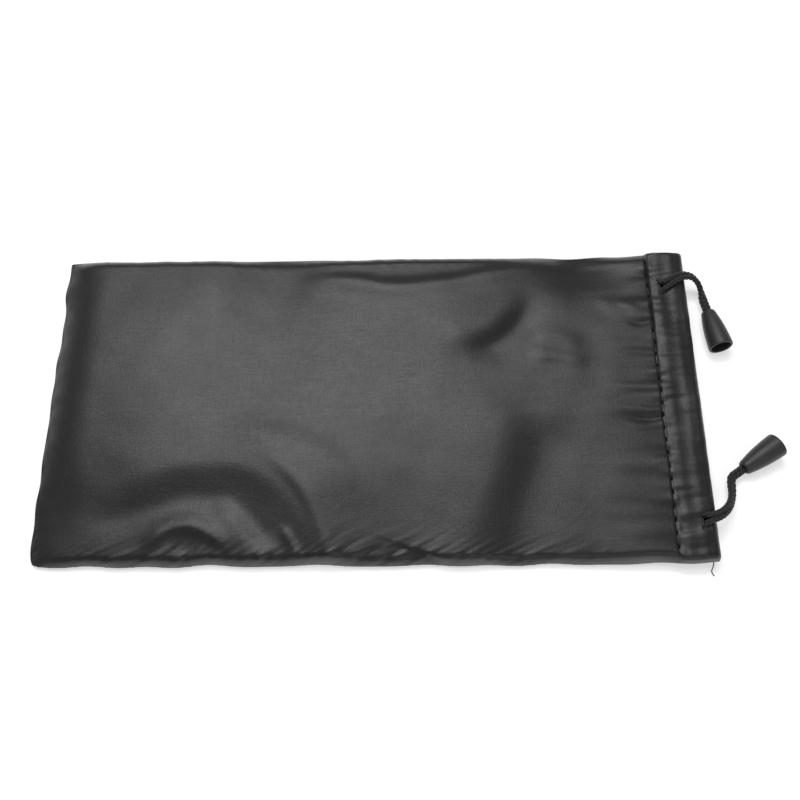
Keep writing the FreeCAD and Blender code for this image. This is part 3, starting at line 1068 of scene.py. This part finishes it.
def tube(line: Array, radius: Array, segments: int) -> tuple[Array, Array]:
    """A closed tube round a line, its ends shut by a ring of no size.

    Args:
        line: an (n, 3) line in mm.
        radius: an (n, segments) array, or one number, in mm.
        segments: points round the tube.

    Returns:
        Its points and quads.
    """
    across, up = frames_along(line)
    turn = np.linspace(0, 2 * math.pi, segments, endpoint=False)
    radius = np.broadcast_to(radius, (len(line), segments)).copy()
    radius[[0, -1]] = 0.001
    ring = across[:, None] * np.cos(turn)[None, :, None] + up[:, None] * np.sin(turn)[None, :, None]
    points = line[:, None] + ring * radius[..., None]
    return points.reshape(-1, 3), grid_faces(len(line), segments, wrap=True)


@dataclass(frozen=True)
class BraidedCord:
    """The drawstring's braid: columns of lobes that lean left and right by turns.

    With the place round the cord in columns, c, and along it in pitches, s, a lobe's
    relief is (1 - 0.55 q^4) * |sin(pi (s + c's offset + lean q))|^0.8, where q runs
    from -1 to 1 over the column.
    """

    radius: float = 0.75
    low: float = 0.62
    relief: float = 0.47
    columns: int = 6
    pitch: float = 1.3
    lean: float = 0.36
    segments: int = 36
    mean_share: float = 0.89

    def height(self, run: Array) -> Array:
        """The braid's relief from 0 to 1 at each ring and segment.

        Args:
            run: the distance along the cord at each ring, in mm.

        Returns:
            An (n, segments) array.
        """
        place = np.arange(self.segments) / self.segments * self.columns
        column = np.floor(place).astype(int)
        q = 2 * (place - column) - 1
        odd = column % 2
        lean = np.where(odd == 0, 1.0, -1.0) * self.lean * q
        s = run[:, None] / self.pitch + 0.5 * odd[None, :] + lean[None, :]
        return (1 - 0.55 * q**4)[None, :] * np.abs(np.sin(math.pi * s)) ** 0.8

    def piece(self, name: str, line: Array) -> bpy.types.Object:
        """A cord along the line with its relief, UV map and relief attribute; the attribute drives the cord's
        painted shade between the plaits.

        Args:
            name: the piece's name.
            line: its centreline in mm.

        Returns:
            The object.
        """
        run = np.concatenate([[0.0], np.cumsum(np.linalg.norm(np.diff(line, axis=0), axis=1))])
        height = self.height(run)
        points, faces = tube(line, self.radius * (self.low + self.relief * height), self.segments)
        round_it = np.linspace(0, 1, self.segments)[None, :]
        uv = np.stack(np.broadcast_arrays(round_it, run[:, None] * 0.06), -1).reshape(-1, 2)
        thing = to_object(name, points, faces, uv)
        # the relief attribute sets the painted shade in the low gaps between the plaits
        relief = thing.data.attributes.new("relief", "FLOAT", "POINT")
        relief.data.foreach_set("value", height.astype(np.float32).ravel())
        face_outwards(thing)
        return thing


@dataclass(frozen=True)
class Pull:
    """One side's drawstring, bell and knot: where they go and what they move with.

    The ring runs round inside the hem; two strands leave by the slit, lie side by
    side over the mouth edge and end in the bell's neck, tied to its knot.
    """

    side: Side
    inner: tuple
    outer: tuple
    flap_x: float
    ring_end: float
    neck: Point
    axis: Point
    give: tuple[float, float]

    @property
    def moving(self) -> Body:
        """The body of the pulled part."""
        return Body.FAR_PULL if self.side is Side.FAR else Body.NEAR_PULL

    @property
    def cap(self) -> Body:
        """The bell's body."""
        return Body.FAR_CAP if self.side is Side.FAR else Body.NEAR_CAP

    def axes(self) -> tuple[Array, Array, Array]:
        """The bell's own directions.

        Returns:
            Unit vectors along its axis, level across it, and up across it.
        """
        axis = np.array(self.axis)
        axis /= np.linalg.norm(axis)
        across = np.cross(axis, [0, 0, 1.0])
        across /= np.linalg.norm(across)
        return axis, across, np.cross(across, axis)


PULLS = (
    Pull(
        side=Side.FAR,
        inner=(
            (82.2, 22.5, 4.6), (82.2, 26.0, 4.6), (82.2, 29.6, 4.7), (82.6, 31.6, 5.9),
            (84.4, 32.7, 6.95), (87.6, 35.0, 6.95), (91.2, 35.9, 6.8), (94.0, 34.9, 4.9),
            (95.1, 32.8, 3.0), (95.23, 30.64, 2.06),
            (95.57, 28.68, 2.24), (95.95, 26.52, 2.44), (96.46, 23.58, 2.7), (96.84, 21.42, 2.88),
        ),
        outer=(
            (82.2, 41.0, 4.6), (82.2, 38.6, 4.6), (82.0, 36.4, 4.7), (82.3, 34.7, 5.8),
            (83.3, 34.0, 6.9), (87.0, 36.3, 6.95), (91.3, 37.0, 6.3), (94.5, 35.6, 3.4),
            (95.9, 33.0, 1.5), (96.13, 30.8, 2.06),
            (96.48, 28.84, 2.24), (96.85, 26.68, 2.44), (97.37, 23.74, 2.7), (97.75, 21.58, 2.88),
        ),
        flap_x=82.2,
        ring_end=40.9,
        neck=(96.4, 26.6, 2.438),
        axis=(0.1717, -0.9811, 0.0888),
        give=(84.6, 94.4),
    ),
    Pull(
        side=Side.NEAR,
        inner=(
            (86.2, -24.0, 4.6), (86.2, -27.0, 4.6), (86.2, -31.0, 4.7), (86.0, -33.0, 5.9),
            (87.2, -33.7, 6.95), (90.6, -32.9, 6.6), (93.8, -30.6, 5.0), (95.6, -27.6, 3.2),
            (95.8, -24.6, 2.5), (96.26, -22.02, 2.06),
            (97.92, -20.92, 2.24), (99.75, -19.72, 2.44), (102.24, -18.07, 2.7), (103.9, -16.97, 2.88),
        ),
        outer=(
            (86.2, -43.0, 4.6), (86.2, -40.2, 4.6), (86.0, -38.2, 4.7), (86.2, -36.2, 5.9),
            (87.4, -35.3, 6.95), (91.2, -34.1, 6.1), (94.5, -31.3, 3.6), (96.4, -28.0, 1.6),
            (96.9, -25.2, 1.5), (96.76, -22.79, 2.06),
            (98.42, -21.69, 2.24), (100.25, -20.48, 2.44), (102.75, -18.84, 2.7), (104.41, -17.74, 2.88),
        ),
        flap_x=86.2,
        ring_end=-42.9,
        neck=(100.0, -20.1, 2.435),
        axis=(0.8312, 0.5488, 0.0891),
        give=(87.3, 95.6),
    ),
)


@dataclass
class Bell:
    """A moulded bell: a lathed shell with a rounded neck, a swelling flank and an open mouth.

    The profile is smoothed by a cubic curve and turned about the bell's axis.
    """

    pull: Pull
    finishes: Finishes
    segments: int = 96
    profile_points: int = 260
    # (place along the axis, radius) in mm, from the neck's bore round the outside and back in
    profile: tuple = (
        (2.2, 1.30), (1.2, 1.30), (0.5, 1.30), (0.15, 1.34), (0.0, 1.48), (0.06, 1.68), (0.28, 1.88),
        (0.7, 2.04), (1.3, 2.17), (2.2, 2.35), (3.2, 2.55), (4.4, 2.76), (5.8, 2.95), (7.4, 3.12),
        (9.0, 3.25), (10.6, 3.34), (11.3, 3.36), (11.62, 3.31), (11.78, 3.18), (11.8, 3.0),
        (11.76, 2.82), (11.6, 2.70), (10.8, 2.62), (9.0, 2.55), (7.2, 2.46), (6.0, 2.32),
        (5.2, 2.05), (4.4, 1.62), (3.6, 1.36), (2.8, 1.30),
    )

    def build(self) -> bpy.types.Object:
        """The bell about its axis, riding its cap body in place of the CAD bell.

        Returns:
            The bell.
        """
        fine = np.array(bend_points([*self.profile, self.profile[0]], self.profile_points))[:-1]
        a, r = fine[:, 0], fine[:, 1]
        turn = np.linspace(0, 2 * math.pi, self.segments, endpoint=False)
        axis, across, up = self.pull.axes()
        ring = across[None, :] * np.cos(turn)[:, None] + up[None, :] * np.sin(turn)[:, None]
        points = np.array(self.pull.neck) + axis * a[:, None, None] + ring[None] * r[:, None, None]
        name = f"{self.pull.side.word}_bell_moulding"
        faces = grid_faces(len(a), self.segments, wrap=True, wrap_rows=True)
        thing = to_object(name, points.reshape(-1, 3), faces)
        face_outwards(thing)
        self.finishes.dress(thing, Slot.BELL)
        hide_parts(f"{self.pull.side.word}_bell")
        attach(thing, self.pull.cap.value)
        LOG.info("piece %s: bell", name)
        return thing


@dataclass
class Knot:
    """The overhand knot in the cord's end, inside the bell, with a short frayed tail."""

    pull: Pull
    finishes: Finishes
    centre: float = 6.8
    size: float = 0.62
    tail_end: float = 10.4
    tail_sway: float = 0.25
    gap: float = 0.15

    def build(self) -> bpy.types.Object:
        """A trefoil of cord, with its tail, riding the pulled body.

        The trefoil is ((2 + cos 3t) cos 2t, (2 + cos 3t) sin 2t, 1.4 sin 3t) * size, made
        narrower across the bell.

        Returns:
            The knot.
        """
        t = np.linspace(self.gap, 2 * math.pi - self.gap, 160)
        out = 2 + np.cos(3 * t)
        loop = np.stack([out * np.cos(2 * t), out * np.sin(2 * t), np.sin(3 * t) * 1.4], -1)
        loop *= self.size * np.array([0.72, 0.72, 1.0])
        axis, across, up = self.pull.axes()
        turned = loop @ np.stack([across, up, axis])
        line = np.array(self.pull.neck) + axis * self.centre + turned
        tail_at = np.linspace(self.centre, self.tail_end, 30)[:, None]
        sway = across * self.tail_sway * np.sin(np.linspace(0, 2.4, 30))[:, None]
        tail = np.array(self.pull.neck) + axis * tail_at + sway
        braid = BraidedCord(radius=0.72, segments=24, pitch=1.2)
        name = f"{self.pull.side.word}_knot_tied"
        pieces = [braid.piece(f"{name}_{k}", spaced(part, 0.12)) for k, part in enumerate((line, tail))]
        with bpy.context.temp_override(active_object=pieces[0], selected_editable_objects=pieces):
            bpy.ops.object.join()
        thing = pieces[0]
        thing.name = thing.data.name = name
        self.finishes.dress(thing, Slot.CORD)
        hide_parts(f"{self.pull.side.word}_knot")
        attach(thing, self.pull.moving.value)
        LOG.info("piece %s: knot", name)
        return thing


@dataclass
class Drawstring:
    """One drawstring: the run round inside the hem and the two free strands."""

    pull: Pull
    finishes: Finishes
    braid: BraidedCord = BraidedCord()
    front_lane: float = 4.6
    back_lane: float = 1.4
    corner: float = 42.6
    slit_y: float = 33.0
    coarse_step: float = 0.3

    def ring(self) -> None:
        """The run along the back hem, up round both corners, to near each slit end."""
        x, sign, word = self.pull.flap_x, self.pull.side.value, self.pull.side.word
        high, low, corner = self.front_lane, self.back_lane, self.corner * sign
        route = [
            (x, -29.2 * sign, high), (x, -38.0 * sign, high), (x, -corner, high),
            (x, -corner - 0.3 * sign, (high + low) / 2), (x, -corner, low), (x, -36.0 * sign, low),
            (x, 0.0, low), (x, 36.0 * sign, low), (x, corner, low),
            (x, corner + 0.3 * sign, (high + low) / 2), (x, corner, high), (x, self.pull.ring_end, high),
        ]
        coarse = BraidedCord(radius=0.74, segments=16)
        thing = coarse.piece(f"{word}_drawstring_in_hem", spaced(centreline("ring", route), self.coarse_step))
        self.finishes.dress(thing, Slot.CORD)
        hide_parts(f"{word}_drawstring_ring", f"{word}_drawstring_slit_run")
        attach(thing, Body.POUCH.value)
        for half in Side:
            line = np.array([(x, 0.0, high), (x, half.value * (FLAP_HALF - 0.1), high)])
            run = coarse.piece(f"{word}_drawstring_front_{half.word}", spaced(line, self.coarse_step))
            self.finishes.dress(run, Slot.CORD)
            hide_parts(f"{word}_drawstring_flap_run")
            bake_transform(run)

    def strand(self, which: str, route: tuple) -> bpy.types.Object:
        """One free strand, from inside the hem to the knot.

        Args:
            which: inner or outer.
            route: its given points, in mm.

        Returns:
            The strand.
        """
        word = self.pull.side.word
        line = centreline(f"{word}_{which}", list(route))
        thing = self.braid.piece(f"{word}_strand_{which}_cord", line)
        self.finishes.dress(thing, Slot.CORD)
        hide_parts(f"{word}_strand_{which}")
        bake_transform(thing)
        2 * self.braid.radius * self.braid.mean_share * MM
        return thing

    def build(self) -> None:
        """The bell, the knot, both strands and the hidden runs."""
        bell = Bell(self.pull, self.finishes).build()
        knot = Knot(self.pull, self.finishes).build()
        self.strand("inner", self.pull.inner)
        self.strand("outer", self.pull.outer)
        self.ring()


@dataclass
class Stitching:
    """Rows of thread: each stitch is a capsule that sinks into the cloth at both ends."""

    cloth: Cloth
    finishes: Finishes
    radius: float = 0.36
    stitch: float = 1.5
    steps: int = 15
    segments: int = 10
    sink: float = 0.42
    seam_pitch: float = 3.0
    end_seam_z: float = 0.95
    back_hem_z: float = 2.62
    tail_radius: float = 0.13

    def capsule(self, centre: Array, along: Array, length: float, radius: float) -> tuple[Array, Array]:
        """One stitch: a bent spindle with its ends pushed down.

        Args:
            centre: its middle, in mm.
            along: its unit direction.
            length: in mm.
            radius: in mm.

        Returns:
            Its points and quads.
        """
        t = np.linspace(-1, 1, self.steps)
        sunk = np.array([0, 0, 1.0]) * (-self.sink * np.abs(t) ** 3)[:, None]
        line = centre + along * (t * length / 2)[:, None] + sunk
        swell = radius * (1 - 0.35 * t**4)
        return tube(line, np.repeat(swell[:, None], self.segments, 1), self.segments)

    def row(
        self, name: str, centres: Array, along: Array, lengths: Array, nodes: list[str]
    ) -> bpy.types.Object:
        """One object with a stitch at each centre.

        Args:
            name: the piece's name.
            centres: an (n, 3) array in mm.
            along: an (n, 3) array of unit directions.
            lengths: an (n,) array in mm.
            nodes: the CAD nodes that it stands for.

        Returns:
            The row.
        """
        no_uv = np.zeros((self.steps * self.segments, 2))
        parts = [(*self.capsule(c, a, n, self.radius), no_uv) for c, a, n in zip(centres, along, lengths)]
        thing = join_parts(name, parts)
        face_outwards(thing)
        self.finishes.dress(thing, Slot.THREAD)
        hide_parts(*nodes)
        return thing

    def hem(self, side: Side) -> None:
        """Half of the front hem's row, at the height of the cloth that it holds.

        Args:
            side: which half.
        """
        cloth = self.cloth
        y = side.value * (np.arange(12) + 0.5) * cloth.stitch_pitch
        draw = np.random.default_rng(17 + side.value)
        x = cloth.hem_x + draw.uniform(-0.12, 0.12, len(y))
        z = cloth.body(x[None, :], y[None, :])[0] + 0.26
        turn = draw.uniform(-0.07, 0.07, len(y))
        along = np.stack([np.sin(turn), np.cos(turn), np.zeros(len(y))], -1)
        nodes = ["flap_hem_stitching", f"{side.word}_hem_stitching"]
        lengths = self.stitch + draw.uniform(-0.25, 0.2, len(y))
        thing = self.row(f"front_hem_stitches_{side.word}", np.stack([x, y, z], -1), along, lengths, nodes)
        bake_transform(thing)

    def seams(self) -> None:
        """The seam rows round the closed edges: short bars of thread over the folded edge."""
        cloth = self.cloth
        small = Stitching(cloth, self.finishes, radius=0.22)
        along_x = np.arange(-87, 76, self.seam_pitch)
        for side in Side:
            edge = np.full(len(along_x), side.value * cloth.half_width)
            centres = np.stack([along_x, edge, cloth.edge_height(along_x)], -1)
            small.straight(f"{side.word}_seam", cloth.drift(centres), (1.0, 0.0, 0.0), 1.9)
        along_y = np.arange(-42, 43, self.seam_pitch)
        end = np.full(len(along_y), -cloth.half_length)
        centres = np.stack([end, along_y, np.full(len(along_y), self.end_seam_z)], -1)
        small.straight("end_seam", cloth.drift(centres), (0.0, 1.0, 0.0), 1.9)
        along_y = np.arange(-41.4, 42, cloth.stitch_pitch)
        hem = np.full(len(along_y), cloth.hem_x)
        centres = np.stack([hem, along_y, np.full(len(along_y), self.back_hem_z)], -1)
        self.straight("back_hem", centres, (0.0, 1.0, 0.0), 2.6)

    def straight(self, name: str, centres: Array, along: Point, length: float) -> None:
        """A straight row of equal stitches that rides the pouch.

        Args:
            name: the row's name, as in its CAD node.
            centres: an (n, 3) array in mm.
            along: the stitches' unit direction.
            length: one stitch's length, in mm.
        """
        count = len(centres)
        ways, lengths = np.tile(along, (count, 1)), np.full(count, length)
        thing = self.row(f"{name}_stitches", centres, ways, lengths, [f"{name}_stitching"])
        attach(thing, Body.POUCH.value)
        LOG.info("piece %s: %d stitches", thing.name, count)

    def loose_thread(self) -> None:
        """The cut thread tail at the near corner of the mouth."""
        route = [
            (87.6, -43.6, 4.4), (88.5, -45.0, 3.6), (88.9, -46.0, 1.4),
            (88.6, -46.9, 0.5), (88.8, -47.7, 0.3), (89.3, -48.3, 0.3),
        ]
        line = spaced(centreline("thread_tail", route), 0.15)
        points, faces = tube(line, np.full((len(line), self.segments), self.tail_radius), self.segments)
        thing = to_object("loose_thread_tail", points, faces)
        face_outwards(thing)
        self.finishes.dress(thing, Slot.THREAD)
        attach(thing, Body.POUCH.value)
        LOG.info("piece %s: thread tail", thing.name)

    def build(self) -> None:
        """Every row of stitches, and the loose tail."""
        for side in Side:
            self.hem(side)
        self.seams()
        self.loose_thread()


# ------------------------------------------------------------------ studio
def stand(thing: bpy.types.Object, right: Array, up: Array, back: Array, place: Point) -> None:
    """Turns and places a light or the camera.

    Args:
        thing: what is placed.
        right, up, back: the unit directions of its own three axes.
        place: where it is, in metres.
    """
    matrix = np.eye(4)
    matrix[:3] = np.stack([right, up, back, place], -1)
    thing.matrix_world = Matrix(matrix.tolist())


@dataclass(frozen=True)
class AreaLight:
    """One soft light: where it is, what it faces and how strong it is (metres, watts)."""

    name: str
    place: Point
    target: Point
    width: float
    height: float
    power: float

    def build(self) -> None:
        """Adds the light."""
        data = bpy.data.lights.new(self.name, "AREA")
        data.shape, data.size, data.size_y, data.energy = "RECTANGLE", self.width, self.height, self.power
        thing = bpy.data.objects.new(self.name, data)
        bpy.context.scene.collection.objects.link(thing)
        way = np.array(self.target) - np.array(self.place)
        back = -way / np.linalg.norm(way)
        side = np.cross([0.0, 1.0, 0.02], back)
        side /= np.linalg.norm(side)
        up = np.cross(back, side)
        stand(thing, side, up, back, self.place)


@dataclass
class Studio:
    """The camera, a pale floor, the sky light and the soft boxes."""

    place: tuple = (0.01056, -0.08096, 0.22348)
    right: tuple = (0.9999, -0.0036, -0.0138)
    up: tuple = (0.0082, 0.9385, 0.3452)
    lens: float = 38.09
    sky: float = 0.22
    floor_shade: float = 0.86
    floor_glow: float = 0.50
    floor_half: float = 3000.0
    floor_z: float = -0.05
    lights: tuple = (
        AreaLight("overhead", (-0.11, 0.26, 0.72), (-0.01, 0.0, 0.0), 0.64, 0.42, 2.1),
        AreaLight("overhead_core", (-0.08, 0.36, 0.69), (-0.01, 0.0, 0.0), 0.46, 0.09, 1.15),
        AreaLight("front_fill", (0.35, -0.70, 0.55), (0.0, 0.0, 0.0), 0.5, 0.4, 0.8),
    )

    def camera(self) -> None:
        """The camera, from its place and its right and up directions."""
        data = bpy.data.cameras.new("camera")
        data.lens, data.sensor_width, data.sensor_fit = self.lens, 36.0, "HORIZONTAL"
        data.clip_start, data.clip_end = 0.01, 50
        thing = bpy.data.objects.new("camera", data)
        bpy.context.scene.collection.objects.link(thing)
        right, up = np.array(self.right), np.array(self.up)
        right /= np.linalg.norm(right)
        back = np.cross(right, up)
        back /= np.linalg.norm(back)
        stand(thing, right, np.cross(back, right), back, self.place)
        bpy.context.scene.camera = thing

    def floor(self) -> None:
        """A plain pale floor just under the pouch."""
        half, z = self.floor_half, self.floor_z
        points = np.array([(-half, -half, z), (half, -half, z), (half, half, z), (-half, half, z)])
        thing = to_object("floor", points, np.array([[0, 1, 2, 3]]))
        build = NodeBuilder("pale_floor")
        shade = (*[self.floor_shade] * 3, 1.0)
        glow = {"Emission_Color": (1.0, 1.0, 1.0, 1.0), "Emission_Strength": self.floor_glow}
        paint = build.dress(Base_Color=shade, Roughness=0.9, Specular_IOR_Level=0.1, **glow)
        thing.data.materials.append(paint)

    def world(self) -> None:
        """An even white sky."""
        world = bpy.data.worlds.new("soft_sky")
        world.use_nodes = True
        background = world.node_tree.nodes["Background"]
        background.inputs["Color"].default_value = (1.0, 1.0, 1.0, 1.0)
        background.inputs["Strength"].default_value = self.sky
        bpy.context.scene.world = world

    def build(self) -> None:
        """Everything that isn't the object."""
        bpy.context.scene.view_settings.view_transform = "Standard"
        self.camera()
        self.floor()
        self.world()
        for light in self.lights:
            light.build()


def main() -> None:
    """Builds the studio, then each piece in order."""
    Studio().build()
    finishes = Finishes()
    cloth = Cloth()
    FrontPanel(cloth, finishes).build()
    BackPanel(cloth, finishes).build()
    Stitching(cloth, finishes).build()
    for pull in PULLS:
        Drawstring(pull, finishes).build()


if __name__ == "__main__":
    main()
